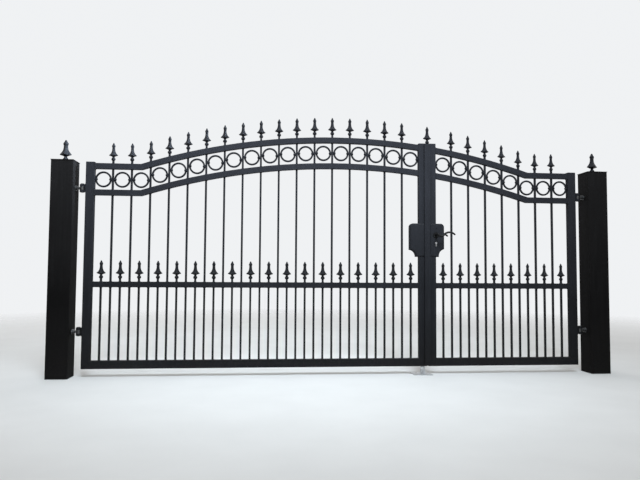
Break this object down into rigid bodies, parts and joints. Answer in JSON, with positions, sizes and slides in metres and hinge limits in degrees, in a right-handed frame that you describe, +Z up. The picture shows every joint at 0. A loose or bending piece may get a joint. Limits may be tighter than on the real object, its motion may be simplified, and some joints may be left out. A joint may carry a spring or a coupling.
{
  "type": "driveway gate",
  "caption": "Double-leaf painted steel driveway gate with an arched head, rings, spear finials, box posts and a lever lock.",
  "frame": {"origin": "Middle of the left post's foot, on the ground.", "axes": "+X runs along the gate to the right post, as seen from the street; +Y points into the drive; +Z is up."},
  "size_m": [4.076, 0.197, 1.8876],
  "materials": {
    "painted_steel": "satin anthracite paint over steel",
    "galvanised_steel": "zinc coating, dull, with faint spangle",
    "black_iron": "hand-forged black iron",
    "nickel": "satin nickel"
  },
  "bodies": {
    "posts": {"left_post": "painted_steel", "right_post": "painted_steel", "post_caps": "painted_steel", "post_spears": "painted_steel", "hinge_eyes": "galvanised_steel", "hinge_nuts": "galvanised_steel", "ground_stop_plate": "galvanised_steel", "ground_stop_socket": "galvanised_steel"},
    "left_leaf": {"left_hinge_stile": "painted_steel", "left_meeting_stile": "painted_steel", "left_bottom_rail": "painted_steel", "left_middle_rail": "painted_steel", "left_lower_arch_rail": "painted_steel", "left_upper_arch_rail": "painted_steel", "left_long_bars": "painted_steel", "left_short_bars": "painted_steel", "left_rings": "painted_steel", "left_top_spears": "painted_steel", "left_middle_spears": "painted_steel", "left_hinge_knuckles": "painted_steel", "left_lock_case": "painted_steel", "cover_strip": "painted_steel", "cover_strip_spear": "painted_steel"},
    "right_leaf": {"right_hinge_stile": "painted_steel", "right_meeting_stile": "painted_steel", "right_bottom_rail": "painted_steel", "right_middle_rail": "painted_steel", "right_lower_arch_rail": "painted_steel", "right_upper_arch_rail": "painted_steel", "right_long_bars": "painted_steel", "right_short_bars": "painted_steel", "right_rings": "painted_steel", "right_top_spears": "painted_steel", "right_middle_spears": "painted_steel", "right_hinge_knuckles": "painted_steel", "right_lock_case": "painted_steel", "lever_roses": "black_iron", "lock_cylinder": "nickel"},
    "lever": {"front_lever": "black_iron", "back_lever": "black_iron", "lever_spindle": "galvanised_steel"}
  },
  "joints": [
    {"name": "left_leaf_hinge", "type": "hinge", "parent": "posts", "child": "left_leaf", "pos_m": [0.121, 0, 0.318], "axis": [0, 0, 1], "range_deg": [0, 90]},
    {"name": "right_leaf_hinge", "type": "hinge", "parent": "posts", "child": "right_leaf", "pos_m": [3.799, 0, 0.318], "axis": [0, 0, -1], "range_deg": [0, 90]},
    {"name": "lever_turn", "type": "hinge", "parent": "right_leaf", "child": "lever", "pos_m": [2.677, 0, 1.024], "axis": [0, 1, 0], "range_deg": [0, 40], "stiffness_Nm_per_rad": 1.2, "springref_deg": -28.65}
  ]
}
